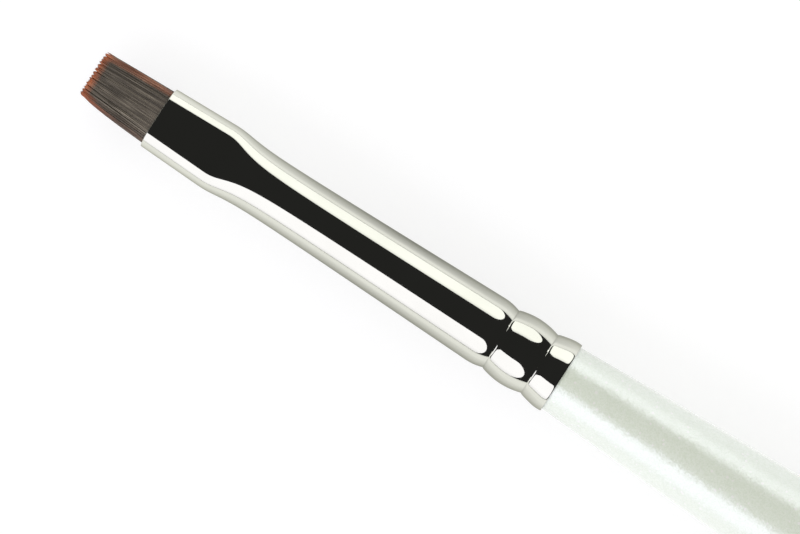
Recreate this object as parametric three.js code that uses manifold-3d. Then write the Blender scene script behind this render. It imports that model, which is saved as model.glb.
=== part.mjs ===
// A flat nail art brush: a short tuft of synthetic filaments in a crimped ferrule on a turned handle.
// Units are millimetres and +Z is up. The brush lies along X, tuft towards -X, flat faces up and down.
// Each piece is made on the brush's axis, x = 0 at the ferrule's mouth, and the group puts it in place.
import * as THREE from 'three';
import { mergeVertices } from 'three/addons/utils/BufferGeometryUtils.js';
import Module from 'manifold-3d';

const wasm = await Module();
wasm.setup();

// Ferrule: a tapered tube, pressed flat at the mouth and crimped twice on the handle.
const FERRULE_LENGTH = 31.4;
const FERRULE_WALL = 0.15;
const MOUTH_TUBE_DIAMETER = 3.76; // of the round tube at the mouth, before it is pressed flat
const CRIMP_TUBE_DIAMETER = 4.79; // where the straight taper ends, before the crimps
const PRESS_GAP = 2.62; // thickness over the pressed faces
const FLAT_LENGTH = 4.75; // of the pressed faces, from the mouth
const PRESS_EASE_LENGTH = 5.9; // from the flat to the round tube
const PRESS_EASE_START = 1.5; // power that softens the ease's start
const PRESS_EASE_END = 3.2; // power that draws out its end
const SHOULDER_LENGTH = 1.15; // rounded run from the taper down into the first groove
const FIRST_GROOVE_FROM_END = 4.7;
const FIRST_GROOVE_DIAMETER = 4.41;
const BEAD_DIAMETER = 4.96; // crest between the two grooves
const SECOND_GROOVE_FROM_END = 1.7;
const SECOND_GROOVE_DIAMETER = 4.5;
const RIM_DIAMETER = 5.1; // crest at the handle end
const RIM_LENGTH = 0.35; // level run from the last crest to the end

// Handle: turned hardwood, lacquered, with a tenon that the ferrule is glued and crimped on.
const HANDLE_LENGTH = 140; // outside the ferrule
const NECK_PLAY = 0.04; // between the neck and the rim that it comes out of
const NECK_REACH = 27; // how far the neck's taper aims before it rounds into the belly
const BELLY_DIAMETER = 7.4;
const BELLY_FROM_FERRULE = 45;
const BELLY_REACH = 36; // of the belly's level tangent towards the tail
const TAIL_DIAMETER = 3.1; // at the start of the rounded end
const TAIL_REACH = 30; // of the tail's tangent back towards the belly
const TAIL_SLOPE = 0.022; // radius gained for each millimetre along that tangent
const TAIL_NOSE_LENGTH = 2.2;

// Film of glue round the tenon, and the plug of epoxy behind the filaments.
const GLUE_FILM = 0.06;
const GLUE_PLAY = 0.03; // on each face of the film
const PLUG_LENGTH = 2.6;
const PLUG_PLAY = 0.05;
const PLUG_TO_TENON = 2.4;

// Tuft: the filaments' free ends, in four groups that each stand on a slice of the pack.
const TUFT_LENGTH = 5.28;
const TUFT_PLAY = 0.12; // between the tuft and the mouth's wall, so that it can bend
const TIP_WIDTH_SHARE = 0.91; // of the tuft's width at the mouth
const TIP_THICKNESS_SHARE = 0.42; // of its thickness there: the tuft thins to a chisel edge
const TIP_STAGGER = 0.14; // the most that a filament falls short of the edge
const FILAMENT_RADIUS = 0.05;
const FILAMENT_PITCH = 0.138;
const FINE_TAPER_FROM = 0.65; // share of the free length
const FINE_TAPER_RADIUS_SHARE = 0.66;
const SLICE_DEPTH = 0.4;
const SLICE_GAP = 0.06; // between neighbouring groups
const SLICE_MARGIN = 0.02; // of slice round the outermost roots
const ROOT_DEPTH = 0.1; // of a filament in its slice

// Butts: the rest of the filaments, packed in the ferrule and tied with thread at their end.
const BUTTS_FROM_MOUTH = 0.95; // clear of the slices when the tuft bends
const BUTTS_PLAY = 0.05;
const THREAD_DIAMETER = 0.3;
const THREAD_PITCH = 0.75;
const THREAD_TURNS = 4;
const THREAD_PLAY = 0.1;
const BUTTS_PAST_THREAD = 0.35;

const ROUND_SIDES = 24;
const ARC_STEPS = 4;
const PRESS_STEPS = 7;
const BODY_STEPS = 8; // of each curve of the handle
const THREAD_SIDES = 5;
const THREAD_STEPS = 16; // for each turn
const FILAMENT_SIDES = 3;

const firstGroove = FERRULE_LENGTH - FIRST_GROOVE_FROM_END;
const secondGroove = FERRULE_LENGTH - SECOND_GROOVE_FROM_END;
const taperEnd = firstGroove - SHOULDER_LENGTH;
const roundFrom = FLAT_LENGTH + PRESS_EASE_LENGTH;
const threadStart = roundFrom + THREAD_DIAMETER;
const buttsEnd = threadStart + THREAD_TURNS * THREAD_PITCH + BUTTS_PAST_THREAD;
const plugStart = buttsEnd + PLUG_PLAY;
const tenonStart = plugStart + PLUG_LENGTH + PLUG_TO_TENON;
const bellyX = FERRULE_LENGTH + BELLY_FROM_FERRULE;

// Rounds are faceted, with a flat facing up and down, and measure their true size across the flats.
const facetCosine = Math.cos(Math.PI / ROUND_SIDES);

// Radius of the round tube at x, before pressing and crimping.
function tubeRadius(x) {
  return THREE.MathUtils.lerp(MOUTH_TUBE_DIAMETER, CRIMP_TUBE_DIAMETER, x / taperEnd) / 2;
}

// Half the thickness of the pressed tube at x.
function pressedRadius(x) {
  const share = THREE.MathUtils.clamp((x - FLAT_LENGTH) / PRESS_EASE_LENGTH, 0, 1);
  const eased = 1 - (1 - share ** PRESS_EASE_START) ** PRESS_EASE_END;
  return THREE.MathUtils.lerp(PRESS_GAP / 2, tubeRadius(x), eased);
}

// Half the straight side of the pressed section at x: pressing keeps the tube's perimeter.
function straightSide(x) {
  return (Math.PI / 2) * (tubeRadius(x) - pressedRadius(x));
}

// Outlines hold radius and x, from low x to high.
function at(radius, x) {
  return new THREE.Vector2(radius, x);
}

// The straight tube between two places, with the steps that the press's ease needs.
function tubeOutline(from, to) {
  const step = PRESS_EASE_LENGTH / PRESS_STEPS;
  const eased = Array.from({ length: PRESS_STEPS + 1 }, (_, i) => FLAT_LENGTH + step * i);
  const stations = [from, ...eased.filter((x) => x > from && x < to), to];
  return stations.map((x) => at(tubeRadius(x), x));
}

// The ferrule's outside from a place on the straight tube to its end.
// Each swell is level at its crest and steep in the groove beside it.
function ferruleOutline(from) {
  const shoulder = CRIMP_TUBE_DIAMETER / 2;
  const firstBottom = FIRST_GROOVE_DIAMETER / 2;
  const secondBottom = SECOND_GROOVE_DIAMETER / 2;
  const bead = BEAD_DIAMETER / 2;
  const rim = RIM_DIAMETER / 2;
  const beadCrest = (firstGroove + secondGroove) / 2;
  const rimCrest = FERRULE_LENGTH - RIM_LENGTH;
  const crimped = new THREE.Path();
  crimped.moveTo(shoulder, taperEnd);
  crimped.quadraticCurveTo(shoulder, (taperEnd + firstGroove) / 2, firstBottom, firstGroove);
  crimped.quadraticCurveTo(bead, (firstGroove + beadCrest) / 2, bead, beadCrest);
  crimped.quadraticCurveTo(bead, (beadCrest + secondGroove) / 2, secondBottom, secondGroove);
  crimped.quadraticCurveTo(rim, (secondGroove + rimCrest) / 2, rim, rimCrest);
  crimped.lineTo(rim, FERRULE_LENGTH);
  return [...tubeOutline(from, taperEnd).slice(0, -1), ...crimped.getPoints(ARC_STEPS)];
}

// The same outline, further in by a distance.
function inset(outline, distance) {
  return outline.map((p) => at(p.x - distance, p.y));
}

// A piece turned about X from a closed outline, or from one that starts and ends on the axis.
function turned(outline) {
  const faceted = outline.map((p) => at(p.x / facetCosine, p.y));
  return new THREE.LatheGeometry(faceted, ROUND_SIDES, Math.PI / ROUND_SIDES).rotateZ(-Math.PI / 2);
}

// A turned rod: the outline closed to the axis at both ends.
function rod(outline) {
  return turned([at(0, outline[0].y), ...outline, at(0, outline.at(-1).y)]);
}

// A turned tube between an outside and an inside outline.
function tube(outside, inside) {
  return turned([...outside, ...inside.toReversed(), outside[0]]);
}

// Presses a turned piece as the ferrule is pressed, so what lies inside keeps its distance to the wall.
function pressFlat(geometry) {
  const places = geometry.getAttribute('position');
  const p = new THREE.Vector3();
  for (let i = 0; i < places.count; i++) {
    p.fromBufferAttribute(places, i);
    const radius = Math.hypot(p.y, p.z) * facetCosine;
    if (radius > 0) {
      const share = (radius - tubeRadius(p.x) + pressedRadius(p.x)) / radius;
      places.setXYZ(i, p.x, p.y * share + Math.sign(p.y) * straightSide(p.x), p.z * share);
    }
  }
  return geometry;
}

function toSolid(geometry) {
  const bare = geometry.clone();
  bare.deleteAttribute('normal');
  bare.deleteAttribute('uv');
  const merged = mergeVertices(bare);
  return new wasm.Manifold(new wasm.Mesh({
    numProp: 3,
    vertProperties: new Float32Array(merged.getAttribute('position').array),
    triVerts: new Uint32Array(merged.index.array),
  }));
}

function toGeometry(solid) {
  const mesh = solid.getMesh();
  const geometry = new THREE.BufferGeometry();
  geometry.setAttribute('position', new THREE.BufferAttribute(mesh.vertProperties, 3));
  geometry.setIndex(new THREE.BufferAttribute(mesh.triVerts, 1));
  return geometry;
}

function piece(name, geometry, finish) {
  const mesh = new THREE.Mesh(geometry, new THREE.MeshStandardMaterial(finish));
  mesh.name = name;
  return mesh;
}

// The ferrule's wall follows its outside at one thickness, through the flat and the crimps.
function makeFerrule() {
  const outside = ferruleOutline(0);
  const wall = pressFlat(tube(outside, inset(outside, FERRULE_WALL)));
  return piece('ferrule', wall, { color: 0xd4d4c8, roughness: 0.08, metalness: 1 });
}

// The tenon fills the bore, so the crimps lock it. The neck then swells to the belly, and the tail thins.
function makeHandle() {
  const tenon = inset(ferruleOutline(tenonStart), FERRULE_WALL + GLUE_FILM + 2 * GLUE_PLAY);
  const neck = RIM_DIAMETER / 2 - FERRULE_WALL - NECK_PLAY;
  const belly = BELLY_DIAMETER / 2;
  const tail = TAIL_DIAMETER / 2;
  const noseX = FERRULE_LENGTH + HANDLE_LENGTH - TAIL_NOSE_LENGTH;
  const body = new THREE.Path();
  body.moveTo(neck, FERRULE_LENGTH);
  body.quadraticCurveTo(belly, FERRULE_LENGTH + NECK_REACH, belly, bellyX);
  const tailAim = tail + TAIL_SLOPE * TAIL_REACH;
  body.bezierCurveTo(belly, bellyX + BELLY_REACH, tailAim, noseX - TAIL_REACH, tail, noseX);
  const nose = new THREE.EllipseCurve(0, noseX, tail, TAIL_NOSE_LENGTH, 0, Math.PI / 2);
  const outline = [
    at(0, tenonStart),
    ...tenon,
    ...body.getPoints(BODY_STEPS),
    ...nose.getPoints(ARC_STEPS).slice(1, -1),
    at(0, noseX + TAIL_NOSE_LENGTH),
  ];
  return piece('handle', turned(outline), { color: 0xe6e9e0, roughness: 0.3, metalness: 0.1 });
}

// A film of wood glue fills the play all along the tenon, up to the rim's crest.
function makeTenonGlue() {
  const outside = inset(ferruleOutline(tenonStart).slice(0, -1), FERRULE_WALL + GLUE_PLAY);
  const film = tube(outside, inset(outside, GLUE_FILM));
  return piece('tenon_glue', film, { color: 0xe4dcc4, roughness: 0.4, metalness: 0 });
}

// Epoxy is poured in behind the butts and holds them in the bore.
function makePlug() {
  const outside = inset(tubeOutline(plugStart, plugStart + PLUG_LENGTH), FERRULE_WALL + PLUG_PLAY);
  return piece('epoxy_plug', rod(outside), { color: 0xcaa75a, roughness: 0.2, metalness: 0 });
}

// The thread is wound in the round bore, on a waist where the butts are drawn in by its thickness.
const threadRadius = tubeRadius(roundFrom) - FERRULE_WALL - BUTTS_PLAY - THREAD_DIAMETER / 2;
const waistRadius = threadRadius - THREAD_DIAMETER / 2 - THREAD_PLAY;

// The packed butts fill the pressed bore up to the waist.
function makeButts() {
  const packed = inset(tubeOutline(BUTTS_FROM_MOUTH, roundFrom), FERRULE_WALL + BUTTS_PLAY);
  const outline = [...packed, at(waistRadius, roundFrom), at(waistRadius, buttsEnd)];
  const packedRod = pressFlat(rod(outline));
  return piece('filament_butts', packedRod, { color: 0x5b514a, roughness: 0.5, metalness: 0 });
}

// The thread is one open helix round the waist.
function makeThread() {
  const steps = THREAD_TURNS * THREAD_STEPS;
  const points = Array.from({ length: steps + 1 }, (_, i) => {
    const turn = i / THREAD_STEPS;
    const angle = 2 * Math.PI * turn;
    const x = threadStart + THREAD_PITCH * turn;
    return new THREE.Vector3(x, threadRadius * Math.cos(angle), threadRadius * Math.sin(angle));
  });
  console.log(`least gap between the thread's turns: ${leastGap(points).toFixed(3)} mm`);
  const round = new THREE.EllipseCurve(0, 0, THREAD_DIAMETER / 2, THREAD_DIAMETER / 2, 0, 2 * Math.PI);
  const section = new THREE.Shape(round.getPoints(THREAD_SIDES).slice(0, -1));
  const extrudePath = new THREE.CatmullRomCurve3(points);
  const helix = new THREE.ExtrudeGeometry(section, { steps, bevelEnabled: false, extrudePath });
  return piece('binding_thread', helix, { color: 0xe9e4d6, roughness: 0.9, metalness: 0 });
}

// The least clear distance between points of the thread that are half a turn or more apart.
function leastGap(points) {
  const gaps = points.flatMap((a, i) => points.slice(i + THREAD_STEPS / 2).map((b) => a.distanceTo(b)));
  return Math.min(...gaps) - THREAD_DIAMETER;
}

// The tuft's section at the mouth is the pressed bore less the play that it bends in.
const tuftRadius = PRESS_GAP / 2 - FERRULE_WALL - TUFT_PLAY;
const tuftSide = straightSide(0);
const rootMargin = FILAMENT_RADIUS + SLICE_MARGIN;

// One of the two layers between the flats, on the side of +Z or -Z.
function layerGroup(side) {
  const wide = tuftSide - SLICE_GAP / 2;
  const near = SLICE_GAP / 2;
  const corners = [[-wide, near], [wide, near], [wide, tuftRadius], [-wide, tuftRadius]];
  return {
    section: new THREE.Shape(corners.map(([y, z]) => new THREE.Vector2(y, side * z))),
    holds: (y, z) => Math.abs(y) <= wide - rootMargin
      && side * z >= near + rootMargin
      && side * z <= tuftRadius - rootMargin,
  };
}

// One of the two round edges, on the side of +Y or -Y.
function edgeGroup(side) {
  const near = tuftSide + SLICE_GAP / 2;
  const turn = side * (-Math.PI / 2);
  const arc = new THREE.EllipseCurve(side * near, 0, tuftRadius, tuftRadius, turn, turn + Math.PI);
  return {
    section: new THREE.Shape(arc.getPoints(ROUND_SIDES / 2)),
    holds: (y, z) => side * y >= near + rootMargin
      && Math.hypot(side * y - near, z) <= tuftRadius - rootMargin,
  };
}

// The roots of a group, taken from one close-packed lattice over the whole tuft.
function rootsOf(group) {
  const rowStep = (FILAMENT_PITCH * Math.sqrt(3)) / 2;
  const rows = Math.ceil(tuftRadius / rowStep);
  const columns = Math.ceil((tuftSide + tuftRadius) / FILAMENT_PITCH);
  const roots = [];
  for (let row = -rows; row < rows; row++) {
    for (let column = -columns; column <= columns; column++) {
      const y = (column + (row % 2) / 2) * FILAMENT_PITCH;
      const z = (row + 0.5) * rowStep;
      if (group.holds(y, z)) roots.push({ y, z });
    }
  }
  return roots;
}

// One filament from its slice to its tip, leaning in as the tuft thins to its edge.
function filament(root, index) {
  const reach = TUFT_LENGTH - TIP_STAGGER * Math.sin(index) ** 2;
  const outline = [
    at(0, -reach),
    at(FILAMENT_RADIUS * FINE_TAPER_RADIUS_SHARE, -reach * FINE_TAPER_FROM),
    at(FILAMENT_RADIUS, ROOT_DEPTH),
    at(0, ROOT_DEPTH),
  ];
  const lean = new THREE.Matrix4().set(
    1, 0, 0, 0,
    (root.y * (1 - TIP_WIDTH_SHARE)) / TUFT_LENGTH, 1, 0, root.y,
    (root.z * (1 - TIP_THICKNESS_SHARE)) / TUFT_LENGTH, 0, 1, root.z,
    0, 0, 0, 1,
  );
  return new THREE.LatheGeometry(outline, FILAMENT_SIDES).rotateZ(-Math.PI / 2).applyMatrix4(lean);
}

// A group of filaments on its slice of the pack.
function makeBristles(name, group, color) {
  const slice = new THREE.ExtrudeGeometry(group.section, { depth: SLICE_DEPTH, bevelEnabled: false });
  const alongX = new THREE.Matrix4().makeBasis(
    new THREE.Vector3(0, 1, 0),
    new THREE.Vector3(0, 0, 1),
    new THREE.Vector3(1, 0, 0),
  );
  const strands = rootsOf(group).map((root, index) => toSolid(filament(root, index)));
  const backing = toSolid(slice.applyMatrix4(alongX));
  const solid = strands.reduce((joined, strand) => joined.add(strand), backing);
  console.log(`${name}: ${strands.length} filaments`);
  return piece(name, toGeometry(solid), { color, roughness: 0.5, metalness: 0 });
}

const tuft = new THREE.Group();
tuft.add(
  makeBristles('bristles_top', layerGroup(1), 0x5b514a),
  makeBristles('bristles_bottom', layerGroup(-1), 0x5b514a),
  makeBristles('bristles_left', edgeGroup(1), 0x8a5038),
  makeBristles('bristles_right', edgeGroup(-1), 0x8a5038),
);

// The origin is on the axis at the handle's belly, where a hand holds it.
const brush = new THREE.Group();
brush.position.setX(-bellyX);
brush.add(makeHandle(), makeTenonGlue(), makeFerrule(), makePlug(), makeButts(), makeThread(), tuft);

export default brush;
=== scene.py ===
# A flat nail art brush: a pearl-lacquered handle, a bright crimped ferrule and a short synthetic tuft.
# It lies along X with its tuft towards -X and its flat faces up and down. Lengths are metres.
import math
import random

import bmesh
import bpy
from mathutils import Matrix, Vector


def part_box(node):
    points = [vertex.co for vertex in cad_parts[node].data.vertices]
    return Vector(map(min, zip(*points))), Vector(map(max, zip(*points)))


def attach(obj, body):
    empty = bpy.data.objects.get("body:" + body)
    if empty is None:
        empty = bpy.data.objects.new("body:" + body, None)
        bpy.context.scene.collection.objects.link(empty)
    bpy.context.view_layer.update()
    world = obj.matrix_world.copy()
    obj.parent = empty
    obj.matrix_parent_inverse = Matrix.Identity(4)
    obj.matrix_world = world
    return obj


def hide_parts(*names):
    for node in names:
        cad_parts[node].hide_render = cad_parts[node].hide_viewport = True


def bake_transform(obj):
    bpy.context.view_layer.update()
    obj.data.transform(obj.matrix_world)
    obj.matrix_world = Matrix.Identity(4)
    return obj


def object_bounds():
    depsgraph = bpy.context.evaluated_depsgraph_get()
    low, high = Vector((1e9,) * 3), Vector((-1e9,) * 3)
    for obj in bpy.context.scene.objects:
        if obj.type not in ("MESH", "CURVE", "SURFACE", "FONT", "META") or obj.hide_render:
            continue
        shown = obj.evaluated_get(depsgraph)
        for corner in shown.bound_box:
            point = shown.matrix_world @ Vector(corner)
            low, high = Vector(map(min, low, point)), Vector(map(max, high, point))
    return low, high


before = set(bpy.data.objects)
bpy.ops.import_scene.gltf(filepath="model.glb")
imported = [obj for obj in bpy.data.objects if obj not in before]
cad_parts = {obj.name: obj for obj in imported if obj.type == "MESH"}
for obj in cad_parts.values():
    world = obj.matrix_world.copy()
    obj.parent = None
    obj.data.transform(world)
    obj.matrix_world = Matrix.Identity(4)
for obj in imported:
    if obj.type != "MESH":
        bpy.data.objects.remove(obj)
cad_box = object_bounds()

# Camera: a long lens over the flat face, leaning a little towards the handle. The brush crosses the
# picture from the tuft at the upper left, and its handle runs out at the lower right.
PICTURE_WIDTH_PX = 800
PICTURE_HEIGHT_PX = 534
MOUTH_ACROSS_PX = 158.9
MOUTH_DOWN_PX = 117.7
PX_PER_METRE = 15250
BRUSH_SLANT = math.radians(32.9)
CAMERA_LEAN = math.radians(2.5)
LENS_MM = 200
SENSOR_MM = 36
NEAREST_SEEN = 0.01

ferrule_low, ferrule_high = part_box("ferrule")
mouth = Vector((ferrule_low.x, 0, 0))
camera_turn = Matrix.Rotation(CAMERA_LEAN, 3, "Y") @ Matrix.Rotation(BRUSH_SLANT, 3, "Z")
mouth_to_middle = Vector((
    (PICTURE_WIDTH_PX / 2 - MOUTH_ACROSS_PX) / PX_PER_METRE,
    (MOUTH_DOWN_PX - PICTURE_HEIGHT_PX / 2) / PX_PER_METRE,
    PICTURE_WIDTH_PX / PX_PER_METRE * LENS_MM / SENSOR_MM,
))
camera_place = mouth + camera_turn @ mouth_to_middle

bpy.ops.object.select_all(action="DESELECT")
bpy.ops.object.camera_add()
camera = bpy.context.object
camera.matrix_world = Matrix.Translation(camera_place) @ camera_turn.to_4x4()
camera.data.lens = LENS_MM
camera.data.sensor_width = SENSOR_MM
camera.data.clip_start = NEAREST_SEEN
bpy.context.scene.camera = camera
bpy.context.scene.view_settings.view_transform = "Standard"

# Studio: a wide white table with a low white rim, in a dark room. Two long soft boxes stand in a row on
# the near side of the brush, at -Y, and two on its far side, so that bright metal mirrors them as strips.
# A soft light hangs overhead.
FLOOR_RADIUS = 4
FLOOR_SIDES = 96
RIM_HEIGHT = 0.26
WHITE = (1, 1, 1, 1)
PAPER_WHITE = (0.7, 0.7, 0.7, 1)
SEEN_WHITE = (0.38, 0.38, 0.38, 1)
SEEN_GLOW = 0.68
GLOW_NEAR = 0.5
GLOW_FAR = 2.5
SHADE_MIDDLE = (-0.058, 0.0055, 0)
SHADE_RADII = (0.02, 0.03, 1)
SHADE_OUTSIDE = 1.25
SHADE_INSIDE = 0.43
ROOM_GREY = (0.024, 0.024, 0.024, 1)
BOX_DISTANCE = 1.0
BOX_LEFT_CORNER = 0.05
BOX_RIGHT_CORNER = 0.32
BOX_FADE = 0.25
# The low and high edges of a soft box are degrees above the table, as seen from the brush.
NEAR_BOX = {"side": -1, "low": 4.5, "high": 59, "radiance": 1.56, "dim": 0.85, "colour": (1, 0.98, 1.075)}
FAR_BOX = {"side": 1, "low": 4.2, "high": 45, "radiance": 1.56, "dim": 0.8, "colour": (1, 1, 1)}
NEAR_ENDS = (-0.64, 0.33)
FAR_ENDS = (-0.58, 0.24)
NEAR_LEFT_ENDS = (-1.75, -0.76)
FAR_LEFT_ENDS = (-1.75, -1.05)
OVERHEAD_HEIGHT = 1.4
OVERHEAD_SIZE = 3.2
OVERHEAD_RADIANCE = 0.96

bpy.ops.mesh.primitive_circle_add(
    vertices=FLOOR_SIDES, radius=FLOOR_RADIUS, fill_type="NGON", location=(0, 0, cad_box[0].z))
studio_floor = bpy.context.object
studio_floor.name = "studio_floor"
bpy.ops.object.mode_set(mode="EDIT")
bpy.ops.mesh.select_mode(type="EDGE")
bpy.ops.mesh.select_all(action="SELECT")
bpy.ops.mesh.region_to_loop()
bpy.ops.mesh.extrude_edges_move(TRANSFORM_OT_translate={"value": (0, 0, RIM_HEIGHT)})
bpy.ops.object.mode_set(mode="OBJECT")


def new_finish(name):
    """A new finish, its node tree and its shader."""
    finish = bpy.data.materials.new(name)
    finish.use_nodes = True
    return finish, finish.node_tree, finish.node_tree.nodes["Principled BSDF"]


def feed(tree, socket, value):
    """Links a socket to another node's output, or sets it to a value."""
    if isinstance(value, bpy.types.NodeSocket):
        tree.links.new(value, socket)
    else:
        socket.default_value = value


def number_step(tree, operation, first, second):
    """One step of arithmetic on numbers: its result."""
    node = tree.nodes.new("ShaderNodeMath")
    node.operation = operation
    feed(tree, node.inputs[0], first)
    feed(tree, node.inputs[1], second)
    return node.outputs[0]


def vector_step(tree, operation, first, second=(0, 0, 0)):
    """One step of arithmetic on vectors: its result."""
    node = tree.nodes.new("ShaderNodeVectorMath")
    node.operation = operation
    feed(tree, node.inputs[0], first)
    feed(tree, node.inputs[1], second)
    return node.outputs["Value" if operation == "LENGTH" else "Vector"]


def between(tree, kind, share, first, second):
    """A number or a colour between two, nearer to the second as the share grows to 1."""
    node = tree.nodes.new("ShaderNodeMix")
    node.data_type = kind
    feed(tree, node.inputs["Factor"], share)
    feed(tree, node.inputs["A"], first)
    feed(tree, node.inputs["B"], second)
    return node.outputs["Result"]


# The table throws back the lamps' light as plain paper does, and glows up to white where it is looked at.
# Mirrored in metal, it is darker round the ferrule and a little brighter further out: a painted shadow,
# with painted light beyond it, standing in for the brush's shadow on the table.
white_table, table, table_shader = new_finish("white_table")
table_shader.inputs["Roughness"].default_value = 1
table_shader.inputs["Specular IOR Level"].default_value = 0
table_shader.inputs["Emission Color"].default_value = WHITE
table_place = table.nodes.new("ShaderNodeTexCoord").outputs["Object"]
# The painted shadow: a soft round patch that dims the table's glow for reflected rays only.
shade_place = table.nodes.new("ShaderNodeMapping")
shade_place.vector_type = "TEXTURE"
shade_place.inputs["Location"].default_value = SHADE_MIDDLE
shade_place.inputs["Scale"].default_value = SHADE_RADII
table.links.new(table_place, shade_place.inputs["Vector"])
shade_round = table.nodes.new("ShaderNodeTexGradient")
shade_round.gradient_type = "SPHERICAL"
table.links.new(shade_place.outputs["Vector"], shade_round.inputs["Vector"])
shade = between(table, "FLOAT", shade_round.outputs["Fac"], SHADE_OUTSIDE, SHADE_INSIDE)
ray = table.nodes.new("ShaderNodeLightPath").outputs
mirrored_shade = between(table, "FLOAT", ray["Is Glossy Ray"], 1, shade)
glow = table.nodes.new("ShaderNodeMapRange")
glow.inputs["From Min"].default_value = GLOW_NEAR
glow.inputs["From Max"].default_value = GLOW_FAR
glow.inputs["To Min"].default_value = SEEN_GLOW
table.links.new(vector_step(table, "LENGTH", table_place), glow.inputs["Value"])
shaded_glow = number_step(table, "MULTIPLY", glow.outputs["Result"], mirrored_shade)
white_glow = number_step(table, "MINIMUM", shaded_glow, 1)
looked_at = ray["Is Camera Ray"]
for kind in ("Is Glossy Ray", "Is Transmission Ray"):
    looked_at = number_step(table, "MAXIMUM", looked_at, ray[kind])
table_white = between(table, "RGBA", looked_at, PAPER_WHITE, SEEN_WHITE)
table.links.new(table_white, table_shader.inputs["Base Color"])
seen_glow = number_step(table, "MULTIPLY", white_glow, looked_at)
table.links.new(seen_glow, table_shader.inputs["Emission Strength"])
studio_floor.data.materials.append(white_table)

room = bpy.data.worlds.new("dark_room")
bpy.context.scene.world = room
room.use_nodes = True
room_ray = room.node_tree.nodes.new("ShaderNodeLightPath").outputs
backdrop = between(room.node_tree, "RGBA", room_ray["Is Camera Ray"], ROOM_GREY, WHITE)
room.node_tree.links.new(backdrop, room.node_tree.nodes["Background"].inputs["Color"])


def soft_light(name, width, height, radiance, location, rotation):
    """A flat lamp of even radiance, which the camera doesn't see."""
    bpy.ops.object.light_add(type="AREA", location=location, rotation=rotation)
    lamp = bpy.context.object
    lamp.name = name
    lamp.data.shape = "RECTANGLE"
    lamp.data.size = width
    lamp.data.size_y = height
    lamp.data.energy = radiance * math.pi * width * height
    lamp.visible_camera = False
    return lamp


def soft_box(name, box, ends):
    """A soft box between two ends along X, tipped to face the brush, round ended and dimmer low down."""
    width = ends[1] - ends[0]
    half_angle = math.radians(box["high"] - box["low"]) / 2
    middle_angle = math.radians(box["low"]) + half_angle
    height = 2 * BOX_DISTANCE * math.tan(half_angle)
    middle = (
        sum(ends) / 2,
        box["side"] * BOX_DISTANCE * math.cos(middle_angle),
        BOX_DISTANCE * math.sin(middle_angle),
    )
    tip = -box["side"] * (math.pi / 2 - middle_angle)
    lamp = soft_light(name, width, height, box["radiance"], middle, (tip, 0, 0))
    lamp.data.color = box["colour"]
    lamp.data.use_nodes = True
    tree = lamp.data.node_tree
    cloth = tree.nodes.new("ShaderNodeNewGeometry").outputs["Parametric"]
    inside_ends = []
    for other_end, corner in ((1, BOX_LEFT_CORNER), (0, BOX_RIGHT_CORNER)):
        corners_long = width / corner
        place = vector_step(tree, "SUBTRACT", cloth, (other_end, 0.5, 0))
        place = vector_step(tree, "ABSOLUTE", place)
        place = vector_step(tree, "MULTIPLY", place, (corners_long, 2, 0))
        place = vector_step(tree, "SUBTRACT", place, (corners_long - 1, 0, 0))
        place = vector_step(tree, "MAXIMUM", place)
        from_corner = vector_step(tree, "LENGTH", place)
        inside_ends.append(number_step(tree, "LESS_THAN", from_corner, 1))
    inside = number_step(tree, "MULTIPLY", *inside_ends)
    upright = tree.nodes.new("ShaderNodeSeparateXYZ")
    tree.links.new(cloth, upright.inputs["Vector"])
    low_fade = tree.nodes.new("ShaderNodeMapRange")
    low_fade.interpolation_type = "SMOOTHSTEP"
    low_fade.inputs["From Max"].default_value = BOX_FADE
    low_fade.inputs["To Min"].default_value = box["dim"]
    tree.links.new(upright.outputs["Y"], low_fade.inputs["Value"])
    strength = number_step(tree, "MULTIPLY", inside, low_fade.outputs["Result"])
    tree.links.new(strength, tree.nodes["Emission"].inputs["Strength"])


soft_box("near_soft_box", NEAR_BOX, NEAR_ENDS)
soft_box("near_left_soft_box", NEAR_BOX, NEAR_LEFT_ENDS)
soft_box("far_soft_box", FAR_BOX, FAR_ENDS)
soft_box("far_left_soft_box", FAR_BOX, FAR_LEFT_ENDS)
overhead = soft_light(
    "overhead_light", OVERHEAD_SIZE, OVERHEAD_SIZE, OVERHEAD_RADIANCE, (0, 0, OVERHEAD_HEIGHT), (0, 0, 0))
overhead.visible_glossy = False

# Handle: a hardwood stick turned to a slim belly and a thin tail, with a bare tenon for the ferrule.
# Outside the ferrule it is sprayed pearl white: fine mica flakes under a clear, half-gloss lacquer.
TURNING_STEPS = 96
CURVE_STEPS = 16
# How far a curve's handles go towards a leg's aims: for a straight leg, for one aim, for two aims.
HANDLE_REACH = {1: 1 / 3, 2: 2 / 3, 3: 1}
MERGE_DISTANCE = 2e-7
CREASE_ANGLE = math.radians(30)
FERRULE_WALL = 0.15e-3
GLUE_ROOM = 0.12e-3
NECK_PLAY = 0.04e-3
NECK_REACH = 27e-3
BELLY_REACH = 36e-3
TAIL_RADIUS = 1.55e-3
TAIL_REACH = 30e-3
TAIL_SLOPE = 0.022
NOSE_LENGTH = 2.2e-3
ROUND_AIM = 0.5523
MOUTH_TUBE_RADIUS = 1.88e-3
CRIMP_TUBE_RADIUS = 2.395e-3
SHOULDER_LENGTH = 1.15e-3
FIRST_GROOVE_FROM_END = 4.7e-3
FIRST_GROOVE_RADIUS = 2.205e-3
BEAD_RADIUS = 2.48e-3
SECOND_GROOVE_FROM_END = 1.7e-3
SECOND_GROOVE_RADIUS = 2.25e-3
RIM_LENGTH = 0.35e-3
NOTCH_TOP = (0.05e-3, 0.035e-3)
NOTCH_AIM = (0.085e-3, 0.0595e-3)
NOTCH_END = (0.2e-3, 0.09e-3)

handle_low, handle_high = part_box("handle")
rim_radius = ferrule_high.z
first_groove = ferrule_high.x - FIRST_GROOVE_FROM_END
second_groove = ferrule_high.x - SECOND_GROOVE_FROM_END
taper_end = first_groove - SHOULDER_LENGTH


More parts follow.
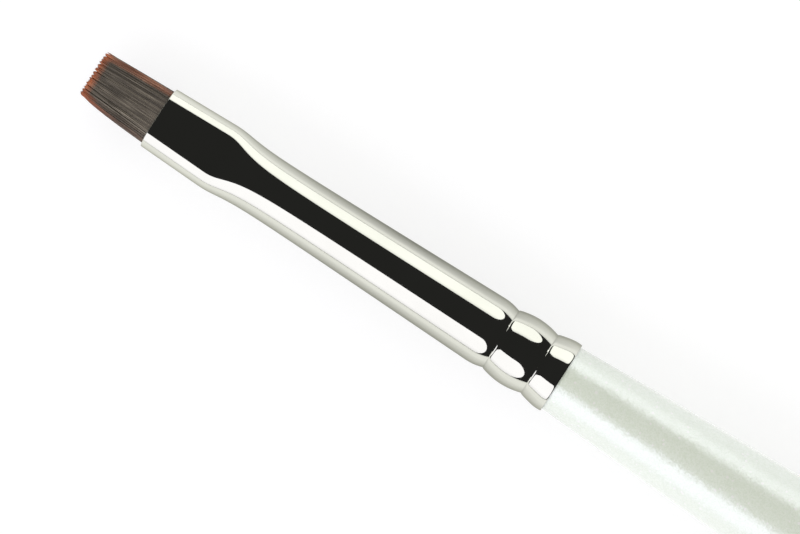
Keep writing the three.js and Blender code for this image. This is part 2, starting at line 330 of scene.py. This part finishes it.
def tube_radius(x):
    """The ferrule's radius along its taper, before its mouth is pressed."""
    share = (x - mouth.x) / (taper_end - mouth.x)
    return MOUTH_TUBE_RADIUS + (CRIMP_TUBE_RADIUS - MOUTH_TUBE_RADIUS) * share


def fall(crest_x, crest, groove_x, groove):
    """The leg from a level crest down into a groove."""
    return [[((crest_x + groove_x) / 2, crest), (groove_x, groove)]]


def rise(groove_x, groove, crest_x, crest):
    """The legs up from a groove: a short steep notch, a bend, and a slope that rounds over to a crest."""
    notch, aim, end = [(groove_x + x, groove + z) for x, z in (NOTCH_TOP, NOTCH_AIM, NOTCH_END)]
    slope = (end[1] - aim[1]) / (end[0] - aim[0])
    return [
        [notch],
        [aim, end],
        [(end[0] + (crest - end[1]) / slope, crest), (crest_x, crest)],
    ]


def crimped_legs(inset):
    """The crimped end of the ferrule's outline, from its taper to its rim, further in by inset."""
    bead_crest = (first_groove + second_groove) / 2
    rim_crest = ferrule_high.x - RIM_LENGTH
    shoulder = CRIMP_TUBE_RADIUS - inset
    bead = BEAD_RADIUS - inset
    rim = rim_radius - inset
    first_bottom = FIRST_GROOVE_RADIUS - inset
    second_bottom = SECOND_GROOVE_RADIUS - inset
    return [
        *fall(taper_end, shoulder, first_groove, first_bottom),
        *rise(first_groove, first_bottom, bead_crest, bead),
        *fall(bead_crest, bead, second_groove, second_bottom),
        *rise(second_groove, second_bottom, rim_crest, rim),
    ]


def draw_outline(name, start, legs):
    """An outline above the axis, made a mesh. A leg ends at its last place, and aims at those before it."""
    bpy.ops.object.select_all(action="DESELECT")
    bpy.ops.curve.primitive_bezier_curve_add()
    outline = bpy.context.object
    outline.name = name
    spline = outline.data.splines[0]
    spline.bezier_points.add(len(legs) - 1)
    spline.resolution_u = CURVE_STEPS
    knots = spline.bezier_points
    for knot in knots:
        knot.handle_left_type = "FREE"
        knot.handle_right_type = "FREE"
    here = Vector((start[0], 0, start[1]))
    knots[0].co = here
    for i, leg in enumerate(legs):
        route = [here, *[Vector((x, 0, radius)) for x, radius in leg]]
        reach = HANDLE_REACH[len(leg)]
        knots[i].handle_right = route[0].lerp(route[1], reach)
        knots[i + 1].handle_left = route[-1].lerp(route[-2], reach)
        knots[i + 1].co = route[-1]
        here = route[-1]
    bpy.ops.object.convert(target="MESH")
    return bpy.context.object


def turn_outline(steps):
    """Spins the outline just drawn once round the brush's axis and closes its seam and poles."""
    bpy.ops.object.mode_set(mode="EDIT")
    bpy.ops.mesh.select_all(action="SELECT")
    bpy.ops.mesh.spin(steps=steps, angle=2 * math.pi, center=(0, 0, 0), axis=(1, 0, 0))
    bpy.ops.mesh.select_all(action="SELECT")
    bpy.ops.mesh.remove_doubles(threshold=MERGE_DISTANCE)
    bpy.ops.mesh.normals_make_consistent(inside=False)
    bpy.ops.object.mode_set(mode="OBJECT")
    bpy.ops.object.shade_smooth_by_angle(angle=CREASE_ANGLE)


tenon_inset = FERRULE_WALL + GLUE_ROOM + NECK_PLAY
neck_radius = rim_radius - FERRULE_WALL - NECK_PLAY
belly_radius = handle_high.z
nose_start = handle_high.x - NOSE_LENGTH
nose_aim = ROUND_AIM * NOSE_LENGTH
tenon_legs = [
    [(handle_low.x, tube_radius(handle_low.x) - tenon_inset)],
    [(taper_end, CRIMP_TUBE_RADIUS - tenon_inset)],
    *crimped_legs(tenon_inset),
    [(ferrule_high.x, rim_radius - tenon_inset)],
]
body_legs = [
    [(ferrule_high.x, neck_radius)],
    [(ferrule_high.x + NECK_REACH, belly_radius), (0, belly_radius)],
    [
        (BELLY_REACH, belly_radius),
        (nose_start - TAIL_REACH, TAIL_RADIUS + TAIL_SLOPE * TAIL_REACH),
        (nose_start, TAIL_RADIUS),
    ],
    [
        (nose_start + nose_aim, TAIL_RADIUS - nose_aim * TAIL_SLOPE),
        (handle_high.x, ROUND_AIM * TAIL_RADIUS),
        (handle_high.x, 0),
    ],
]
handle = draw_outline("handle_stick", (handle_low.x, 0), tenon_legs + body_legs)
turn_outline(TURNING_STEPS)


def pattern(tree, kind, scale, stretch=(1, 1, 1), **settings):
    """A texture on the piece's own coordinates, at scale features for each metre, drawn out by stretch."""
    place = tree.nodes.new("ShaderNodeTexCoord")
    mapping = tree.nodes.new("ShaderNodeMapping")
    mapping.inputs["Scale"].default_value = stretch
    texture = tree.nodes.new(kind)
    texture.inputs["Scale"].default_value = scale
    for setting, value in settings.items():
        texture.inputs[setting].default_value = value
    tree.links.new(place.outputs["Object"], mapping.inputs["Vector"])
    tree.links.new(mapping.outputs["Vector"], texture.inputs["Vector"])
    return texture


def ramp(tree, source, stops):
    """Colours or greys along a value from 0 to 1: each stop is a place and a colour."""
    node = tree.nodes.new("ShaderNodeValToRGB")
    elements = node.color_ramp.elements
    for element, (place, colour) in zip(elements, (stops[0], stops[-1])):
        element.position = place
        element.color = (*colour, 1)
    for place, colour in stops[1:-1]:
        elements.new(place).color = (*colour, 1)
    tree.links.new(source, node.inputs["Fac"])
    return node.outputs["Color"]


def plain_finish(name, tones, roughness, scale, depth, stretch=(1, 1, 1), detail=3):
    """A dull finish whose mottle shows in its tones and, to a depth in metres, in its relief."""
    finish, tree, shader = new_finish(name)
    mottle = pattern(tree, "ShaderNodeTexNoise", scale, stretch, Detail=detail).outputs["Fac"]
    tree.links.new(ramp(tree, mottle, tones), shader.inputs["Base Color"])
    shader.inputs["Roughness"].default_value = roughness
    bump = tree.nodes.new("ShaderNodeBump")
    bump.inputs["Distance"].default_value = depth
    tree.links.new(mottle, bump.inputs["Height"])
    tree.links.new(bump.outputs["Normal"], shader.inputs["Normal"])
    return finish


FLAKES_PER_METRE = 12000
PEARL_TONES = [
    (0.0, (0.82, 0.89, 0.705)),
    (0.5, (0.88, 0.945, 0.77)),
    (1.0, (0.94, 0.99, 0.84)),
]
PEARL_INDEX = 2.9
PEARL_ROUGHNESS = 0.28
FLAKE_TILT = 0.2
PEARL_GLINT = (0.95, 0.99, 1.1, 1)
LACQUER_ROUGHNESS = 0.25
LACQUER_INDEX = 1.5
# Sparks: a few flakes are painted white in the base colour, as painted glints of the mica.
SPARKS_PER_METRE = 4500
SPARK_SHARE = 0.05
SPARK_SIZE = 0.42
PAINTED_GLINT_WHITE = (1, 1, 0.9, 1)

pearl, tree, shader = new_finish("pearl_lacquer")
flakes = pattern(tree, "ShaderNodeTexVoronoi", FLAKES_PER_METRE).outputs
flake_pick = tree.nodes.new("ShaderNodeSeparateColor")
tree.links.new(flakes["Color"], flake_pick.inputs["Color"])
pearl_tone = ramp(tree, flake_pick.outputs["Red"], PEARL_TONES)
sparks = pattern(tree, "ShaderNodeTexVoronoi", SPARKS_PER_METRE).outputs
spark_pick = tree.nodes.new("ShaderNodeSeparateColor")
tree.links.new(sparks["Color"], spark_pick.inputs["Color"])
picked = number_step(tree, "LESS_THAN", spark_pick.outputs["Green"], SPARK_SHARE)
near_spark = number_step(tree, "LESS_THAN", sparks["Distance"], SPARK_SIZE)
spark = number_step(tree, "MULTIPLY", picked, near_spark)
# The sparks are painted glints: white dots in the base colour.
tree.links.new(between(tree, "RGBA", spark, pearl_tone, PAINTED_GLINT_WHITE), shader.inputs["Base Color"])
flake_lean = vector_step(tree, "SUBTRACT", flakes["Color"], (0.5, 0.5, 0.5))
flake_lean = vector_step(tree, "MULTIPLY", flake_lean, (FLAKE_TILT, FLAKE_TILT, FLAKE_TILT))
surface = tree.nodes.new("ShaderNodeNewGeometry").outputs["Normal"]
facing = vector_step(tree, "NORMALIZE", vector_step(tree, "ADD", surface, flake_lean))
tree.links.new(facing, shader.inputs["Normal"])
shader.inputs["IOR"].default_value = PEARL_INDEX
shader.inputs["Roughness"].default_value = PEARL_ROUGHNESS
shader.inputs["Specular Tint"].default_value = PEARL_GLINT
shader.inputs["Coat Weight"].default_value = 1
shader.inputs["Coat IOR"].default_value = LACQUER_INDEX
shader.inputs["Coat Roughness"].default_value = LACQUER_ROUGHNESS
handle.data.materials.append(pearl)

WOOD_TONES = [(0.3, (0.42, 0.27, 0.14)), (0.7, (0.58, 0.41, 0.24))]
WOOD_GRAIN = (0.06, 1, 1)

bare_wood = plain_finish(
    "bare_wood", WOOD_TONES, roughness=0.7, scale=2200, depth=2e-5, stretch=WOOD_GRAIN, detail=4)
handle.data.materials.append(bare_wood)
for face in handle.data.polygons:
    if face.center.x < ferrule_high.x:
        face.material_index = 1

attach(handle, "brush")
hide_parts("handle")

# Tenon glue: a thin film of wood glue between the tenon and the ferrule, squeezed out to the rim.
# It is milky and half clear, with fine bubbles where it was pressed.
GLUE_TONES = [(0.2, (0.74, 0.68, 0.52)), (0.8, (0.82, 0.77, 0.63))]


def dress(node, finish):
    """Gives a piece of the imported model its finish."""
    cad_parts[node].material_slots[0].material = finish


dress("tenon_glue", plain_finish("dried_glue", GLUE_TONES, roughness=0.4, scale=1500, depth=1e-5))

# Ferrule: a seamless brass tube drawn to a taper, its mouth pressed flat and its other end rolled on to
# the handle with two crimp grooves. It is plated with bright nickel and polished to a mirror.
FERRULE_STEPS = 160
FLAT_LENGTH = 4.5e-3
PRESS_EASE_LENGTH = 12.25e-3
PRESS_EASE_MIDDLE = 1.95e-3
PRESS_EASE_POWER = 2.4
PRESS_BENDS = (2.2e-3, 5.5e-3)
PRESS_HALF_GAP = 1.31e-3
LIP_ROUND = 0.05e-3
RIM_ROUND = 0.03e-3
RIM_AIM = 0.06e-3
RING_DIGITS = 7

flat_end = mouth.x + FLAT_LENGTH
round_from = mouth.x + FLAT_LENGTH + PRESS_EASE_LENGTH
press_ends = [flat_end, *[flat_end + bend for bend in PRESS_BENDS], round_from]


def pressed_radius(x):
    """Half the thickness over the pressed faces at x, easing into the round tube."""
    share = min(max((x - flat_end) / PRESS_EASE_LENGTH, 0), 1) ** PRESS_EASE_POWER
    half_way = (PRESS_EASE_MIDDLE / PRESS_EASE_LENGTH) ** PRESS_EASE_POWER
    roundness = share * (1 + half_way) / (share + half_way)
    return PRESS_HALF_GAP + (tube_radius(x) - PRESS_HALF_GAP) * roundness


lip_x = mouth.x + LIP_ROUND
bore = MOUTH_TUBE_RADIUS - FERRULE_WALL
outside_legs = [
    *[[(x, tube_radius(x))] for x in press_ends],
    [(taper_end, CRIMP_TUBE_RADIUS)],
    *crimped_legs(0),
    [(ferrule_high.x - RIM_AIM, rim_radius), (ferrule_high.x, rim_radius - RIM_ROUND)],
]


def reversed_legs(start, legs):
    """The same outline drawn from its far end: a straight first leg to that end, then back to start."""
    ends = [start, *[leg[-1] for leg in legs]]
    backwards = [[*leg[-2::-1], end] for leg, end in zip(legs, ends)]
    return [[ends[-1]], *reversed(backwards)]


inside_legs = [
    [(ferrule_high.x, rim_radius - FERRULE_WALL)],
    *reversed_legs((taper_end, CRIMP_TUBE_RADIUS - FERRULE_WALL), crimped_legs(FERRULE_WALL)),
    *[[(x, tube_radius(x) - FERRULE_WALL)] for x in reversed(press_ends)],
    [(lip_x, tube_radius(lip_x) - FERRULE_WALL)],
    [(mouth.x, bore), (mouth.x, bore + LIP_ROUND)],
    [(mouth.x, MOUTH_TUBE_RADIUS - LIP_ROUND)],
    [(mouth.x, MOUTH_TUBE_RADIUS), (lip_x, tube_radius(lip_x))],
]
ferrule = draw_outline("ferrule_tube", (lip_x, tube_radius(lip_x)), outside_legs + inside_legs)
turn_outline(FERRULE_STEPS)


def press_flat(tube):
    """Presses each ring of a round tube to the obround that has its own girth, as the press does.

    The tube is first turned by half a step, so that no vertex lies where its two halves part.
    """
    rings = {}
    for vertex in tube.data.vertices:
        radius = math.hypot(vertex.co.y, vertex.co.z)
        if vertex.co.x < round_from - MERGE_DISTANCE:
            ring_key = (round(vertex.co.x, RING_DIGITS), round(radius, RING_DIGITS))
            rings.setdefault(ring_key, []).append(vertex.index)
    bpy.ops.object.mode_set(mode="EDIT")
    bpy.ops.mesh.select_mode(type="VERT")
    bpy.ops.mesh.select_all(action="SELECT")
    bpy.ops.transform.rotate(value=math.pi / FERRULE_STEPS, orient_axis="X", center_override=(0, 0, 0))
    for (x, radius), ring in rings.items():
        squeeze = tube_radius(x) - pressed_radius(x)
        scale = (radius - squeeze) / radius
        spread = math.pi / 2 * squeeze
        for side in (1, -1):
            bpy.ops.mesh.select_all(action="DESELECT")
            mesh = bmesh.from_edit_mesh(tube.data)
            mesh.verts.ensure_lookup_table()
            for index in ring:
                if side * mesh.verts[index].co.y > 0:
                    mesh.verts[index].select_set(True)
            bpy.ops.transform.resize(value=(1, scale, scale), center_override=(x, 0, 0))
            bpy.ops.transform.translate(value=(0, side * spread, 0))
    bpy.ops.object.mode_set(mode="OBJECT")


press_flat(ferrule)
bpy.ops.object.shade_smooth_by_angle(angle=CREASE_ANGLE)

NICKEL_TONES = [(0.3, (0.612, 0.617, 0.548)), (0.7, (0.64, 0.645, 0.576))]
NICKEL_EDGE = (0.5, 0.5, 0.46, 1)
TARNISH_PER_METRE = 400
POLISH_GREYS = [(0.3, (0.035, 0.035, 0.035)), (0.75, (0.06, 0.06, 0.06))]
POLISH_PER_METRE = 9000
ALONG_BRUSH = (0.02, 1, 1)

bright_nickel, tree, shader = new_finish("bright_nickel")
tarnish = pattern(tree, "ShaderNodeTexNoise", TARNISH_PER_METRE, Detail=3).outputs["Fac"]
tree.links.new(ramp(tree, tarnish, NICKEL_TONES), shader.inputs["Base Color"])
polish = pattern(tree, "ShaderNodeTexNoise", POLISH_PER_METRE, ALONG_BRUSH, Detail=3).outputs["Fac"]
tree.links.new(ramp(tree, polish, POLISH_GREYS), shader.inputs["Roughness"])
shader.inputs["Metallic"].default_value = 1
shader.inputs["Specular Tint"].default_value = NICKEL_EDGE
ferrule.data.materials.append(bright_nickel)
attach(ferrule, "brush")
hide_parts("ferrule")

# Inside the ferrule: the filaments' butts are packed tight, tied round with cotton thread, and locked by
# a plug of clear epoxy poured in behind them.
BUTT_TONES = [(0.3, (0.05, 0.042, 0.035)), (0.7, (0.16, 0.13, 0.1))]
THREAD_TONES = [(0.3, (0.6, 0.56, 0.47)), (0.7, (0.8, 0.77, 0.68))]
EPOXY_TONES = [(0.2, (0.5, 0.33, 0.1)), (0.8, (0.62, 0.44, 0.17))]

packed_butts = plain_finish(
    "packed_butts", BUTT_TONES, roughness=0.5, scale=9000, depth=3e-5, stretch=ALONG_BRUSH)
cotton_thread = plain_finish("cotton_thread", THREAD_TONES, roughness=0.9, scale=12000, depth=2e-5)
clear_epoxy = plain_finish("clear_epoxy", EPOXY_TONES, roughness=0.15, scale=900, depth=5e-6)
dress("filament_butts", packed_butts)
dress("binding_thread", cotton_thread)
dress("epoxy_plug", clear_epoxy)

# Tuft: about fourteen hundred fine synthetic filaments, drawn to points and cut to a square chisel edge.
# They are grey-brown with rust-coloured tips and a rusty far edge, clump into points at the tip, and bend
# where they leave the mouth.
TUFT_SEED = 7
FILAMENT_PITCH = 0.078e-3
FILAMENT_RADIUS = 0.04e-3
FILAMENT_SIDES = 5
ROOT_DEPTH = 0.5e-3
TUFT_PLAY = 0.05e-3
TAPER_STATIONS = [(0, 1), (0.2, 1), (0.4, 1), (0.6, 0.97), (0.75, 0.94), (0.87, 0.9), (0.97, 0.75)]
FAR_TIP_SHARE = 0.89
NEAR_TIP_SHARE = 0.82
TIP_THICKNESS_SHARE = 0.42

seeded = random.Random(TUFT_SEED)
tip_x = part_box("bristles_top")[0].x
free_length = mouth.x - tip_x
tuft_half_gap = PRESS_HALF_GAP - FERRULE_WALL - TUFT_PLAY
tuft_side = math.pi / 2 * (MOUTH_TUBE_RADIUS - PRESS_HALF_GAP)
half_width = tuft_side + tuft_half_gap

bpy.ops.object.select_all(action="DESELECT")
bpy.ops.mesh.primitive_circle_add(
    vertices=FILAMENT_SIDES, radius=FILAMENT_RADIUS, fill_type="NGON",
    location=(ROOT_DEPTH, 0, 0), rotation=(0, math.pi / 2, 0))
one_filament = bpy.context.object
bpy.ops.object.transform_apply(location=True, rotation=True, scale=False)
bpy.ops.object.mode_set(mode="EDIT")
bpy.ops.mesh.select_all(action="SELECT")
here = ROOT_DEPTH
width = 1
for share, thickness in TAPER_STATIONS:
    there = -share * free_length
    bpy.ops.mesh.extrude_region_move(TRANSFORM_OT_translate={"value": (there - here, 0, 0)})
    squeeze = thickness / width
    bpy.ops.transform.resize(value=(1, squeeze, squeeze), center_override=(there, 0, 0))
    here = there
    width = thickness
bpy.ops.mesh.extrude_region_move(TRANSFORM_OT_translate={"value": (-free_length - here, 0, 0)})
bpy.ops.mesh.merge(type="CENTER")
bpy.ops.mesh.select_all(action="SELECT")
bpy.ops.mesh.normals_make_consistent(inside=False)
bpy.ops.object.mode_set(mode="OBJECT")
for name in ("tone", "rust"):
    one_filament.data.attributes.new(name, "FLOAT", "POINT")


def in_mouth(y, z):
    """Whether a filament's root at this place is clear of the ferrule."""
    return math.hypot(max(abs(y) - tuft_side, 0), z) <= tuft_half_gap - FILAMENT_RADIUS


def tuft_roots():
    """Close-packed places over the mouth."""
    row_step = FILAMENT_PITCH * math.sqrt(3) / 2
    rows = math.ceil(tuft_half_gap / row_step)
    columns = math.ceil(half_width / FILAMENT_PITCH)
    for row in range(-rows, rows + 1):
        for column in range(-columns, columns + 1):
            y = (column + row % 2 / 2) * FILAMENT_PITCH
            z = row * row_step
            if in_mouth(y, z):
                yield y, z


def eased(low, high, value):
    """A value's share of the way from low to high, eased at both ends."""
    share = min(max((value - low) / (high - low), 0), 1)
    return share * share * (3 - 2 * share)


CLUMP_WIDTH = 0.26e-3
CLUMP_VARIES = (0.7, 1.3)
CLUMP_STAGGER = 0.04e-3
CLUMP_PULL = 0.28
CLUMP_FROM = 0.88
POINT_FALL = 0.08e-3
TIP_STAGGER = 0.05e-3
CORNER_FROM = 1.6e-3
CORNER_FALL = 0.2e-3
CORNER_CURL = 0.16e-3
CORNER_POWER = 6


def tip_clumps():
    """The points that one layer of filaments gathers to at its tips: middle, half width and shortfall."""
    clumps = []
    edge = -half_width
    while edge < half_width:
        width = CLUMP_WIDTH * seeded.uniform(*CLUMP_VARIES)
        clumps.append((edge + width / 2, width / 2, CLUMP_STAGGER * seeded.random()))
        edge += width
    return clumps


top_clumps = tip_clumps()
bottom_clumps = tip_clumps()

STRAND_WIDTH = 0.1e-3
STRAND_VARIES = (0.6, 1.5)
STRAND_STRAY = 0.09e-3
STRAY_ROOM = 4 * STRAND_STRAY
STRAY = 0.05e-3
WANDER = 0.03e-3
CROSSING = 0.035e-3
PALE_TONES = (0.5, 0.78)
DEEP_TONES = (0.28, 0.52)
TONES_ALONG = 6
TURN_SHARE = 0.3
DARK_SHARE = 0.1
DARK_TONE = 0.45


def loose_strands():
    """The strands of one layer, pale and deep in turn: middle, stray, tones from root to tip, rust."""
    strands = []
    edge = -half_width
    while edge < half_width:
        width = STRAND_WIDTH * seeded.uniform(*STRAND_VARIES)
        stray = seeded.uniform(-STRAND_STRAY, STRAND_STRAY)
        shade = DARK_TONE if seeded.random() < DARK_SHARE else 1
        tones = []
        for _ in range(TONES_ALONG):
            pale = len(strands) % 2 == (seeded.random() < TURN_SHARE)
            tones.append(shade * seeded.uniform(*(PALE_TONES if pale else DEEP_TONES)))
        strands.append((edge + width / 2, stray, tones, seeded.random()))
        edge += width
    return strands


top_strands = loose_strands()
bottom_strands = loose_strands()

TONE_VARIES = (0.8, 1.2)
ROOT_TONE = 1.16
TIP_FALL = 0.19
NEAR_TIP_FALL = 0.5
NEAR_FALL_SPAN = (1.0e-3, 1.5e-3)
TIP_PALE = 0.3
PALE_FROM = 0.88
# Painted shade: filaments along a parting near the far edge are darkened, where the gap between an edge
# clump and the body lies in shadow.
PARTING = 1.33e-3
PARTING_WIDTH = 0.05e-3
PARTING_SHADE = 0.7
EDGE_SPAN = (1.3e-3, 1.8e-3)
# Painted shade: filaments towards both edges of the tuft are darker, where its sides lie in shadow.
EDGE_SHADE = 0.18
FAR_RUST_SPAN = (1.42e-3, 1.6e-3)
FAR_LIP_SPAN = (1.85e-3, 1.97e-3)
FAR_LIP_LOSS = 0.6
NEAR_RUST = 0.25
LEAST_RUST = 0.1
STRAND_RUST = 0.46
STRAY_RUST = 0.1
TIP_RUST_FROM = (0.86, 0.92)
TIP_RUST_FULL = 0.97
NEAR_RUST_SPAN = (1.3e-3, 1.7e-3)
NEAR_RUST_EARLIER = 0.2
STRAND_RUST_EARLIER = 0.5


def rusty(y):
    """How much of a filament's whole length shows rust: the far edge's do, and less so the near edge's."""
    far = eased(*FAR_RUST_SPAN, y) * (1 - FAR_LIP_LOSS * eased(*FAR_LIP_SPAN, y))
    return max(far, NEAR_RUST * eased(*EDGE_SPAN, -y))


def nearest(bunches, y):
    """The clump or strand whose middle is nearest to y."""
    return min(bunches, key=lambda bunch: abs(bunch[0] - y))


def grow_filament(root_y, root_z):
    """A copy of the filament on its root, with its own stray, clump, length, tones and rust."""
    strands = top_strands if root_z > 0 else bottom_strands
    _, strand_stray, strand_tones, strand_rust = nearest(strands, root_y)
    stray = strand_stray + seeded.uniform(-STRAY, STRAY)
    stray *= 1 - eased(half_width - STRAY_ROOM, half_width, abs(root_y))
    free_y = root_y + stray
    clumps = top_clumps if root_z > 0 else bottom_clumps
    clump_middle, clump_half, clump_short = nearest(clumps, free_y)
    off = (free_y - clump_middle) / clump_half
    short = clump_short + POINT_FALL * off * off + TIP_STAGGER * seeded.random()
    corner = max((-root_y - CORNER_FROM) / (half_width - CORNER_FROM), 0)
    short += CORNER_FALL * corner * corner
    reach = 1 - short / free_length
    tip_share = FAR_TIP_SHARE if root_y > 0 else NEAR_TIP_SHARE
    sway_y = seeded.uniform(-WANDER, WANDER)
    sway_z = seeded.uniform(-WANDER, WANDER)
    bow_y = seeded.uniform(-CROSSING, CROSSING)
    bow_z = seeded.uniform(-CROSSING, CROSSING)
    tone = seeded.uniform(*TONE_VARIES)
    # Painted shade: darker along the parting, where the gap lies in shadow.
    tone *= 1 - PARTING_SHADE * math.exp(-((root_y - PARTING) / PARTING_WIDTH) ** 2)
    # Painted shade: darker towards both edges, where the tuft's sides lie in shadow.
    tone *= 1 - EDGE_SHADE * eased(*EDGE_SPAN, abs(root_y))
    tip_fall = TIP_FALL + NEAR_TIP_FALL * eased(*NEAR_FALL_SPAN, -root_y)
    rust = rusty(root_y) * (LEAST_RUST + STRAND_RUST * strand_rust + STRAY_RUST * seeded.random())
    earlier = NEAR_RUST_EARLIER + STRAND_RUST_EARLIER * strand_rust
    rust_from = seeded.uniform(*TIP_RUST_FROM) - earlier * eased(*NEAR_RUST_SPAN, -root_y)
    filament = one_filament.copy()
    filament.data = one_filament.data.copy()
    tones = []
    rusts = []
    for vertex in filament.data.vertices:
        along = max(-vertex.co.x / free_length, 0)
        y = root_y + stray * along
        y += CLUMP_PULL * eased(CLUMP_FROM, 1, along) * (clump_middle - y)
        y *= 1 + (tip_share - 1) * along
        y += CORNER_CURL * corner * along ** CORNER_POWER
        z = root_z * (1 + (TIP_THICKNESS_SHARE - 1) * along)
        bow = 4 * along * (1 - along)
        vertex.co.x = mouth.x + (vertex.co.x * reach if vertex.co.x < 0 else vertex.co.x)
        vertex.co.y += y + sway_y * along * along + bow_y * bow
        vertex.co.z += z + sway_z * along * along + bow_z * bow
        strand_tone = strand_tones[min(int(TONES_ALONG * along), TONES_ALONG - 1)]
        shown = tone * strand_tone * (ROOT_TONE - tip_fall * along)
        tones.append(shown + TIP_PALE * eased(PALE_FROM, 1, along) * (1 - shown))
        rusts.append(max(rust, eased(rust_from, TIP_RUST_FULL, along)))
    filament.data.attributes["tone"].data.foreach_set("value", tones)
    filament.data.attributes["rust"].data.foreach_set("value", rusts)
    bpy.context.scene.collection.objects.link(filament)
    return filament


filaments = [grow_filament(y, z) for y, z in tuft_roots()]
bpy.data.objects.remove(one_filament)
bpy.ops.object.select_all(action="DESELECT")
for filament in filaments:
    filament.select_set(True)
bpy.context.view_layer.objects.active = filaments[0]
bpy.ops.object.join()
tuft = bpy.context.object
tuft.name = "filament_tuft"
bpy.ops.object.shade_smooth()

GREY_BROWN_TONES = [
    (0.0, (0.045, 0.0375, 0.028)),
    (0.5, (0.124, 0.105, 0.081)),
    (1.0, (0.28, 0.241, 0.187)),
]
RUST_TONES = [
    (0.0, (0.2, 0.065, 0.03)),
    (0.5, (0.4, 0.122, 0.052)),
    (1.0, (0.78, 0.26, 0.11)),
]
FILAMENT_ROUGHNESS = 0.42
FILAMENT_GLOSS = 0.35

dyed_filament, tree, shader = new_finish("dyed_filament")
tone = tree.nodes.new("ShaderNodeAttribute")
tone.attribute_name = "tone"
rust = tree.nodes.new("ShaderNodeAttribute")
rust.attribute_name = "rust"
grey_brown = ramp(tree, tone.outputs["Fac"], GREY_BROWN_TONES)
rust_brown = ramp(tree, tone.outputs["Fac"], RUST_TONES)
dye = between(tree, "RGBA", rust.outputs["Fac"], grey_brown, rust_brown)
tree.links.new(dye, shader.inputs["Base Color"])
shader.inputs["Roughness"].default_value = FILAMENT_ROUGHNESS
shader.inputs["Specular IOR Level"].default_value = FILAMENT_GLOSS
tuft.data.materials.append(dyed_filament)
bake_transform(tuft)
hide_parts("bristles_top", "bristles_bottom", "bristles_left", "bristles_right")
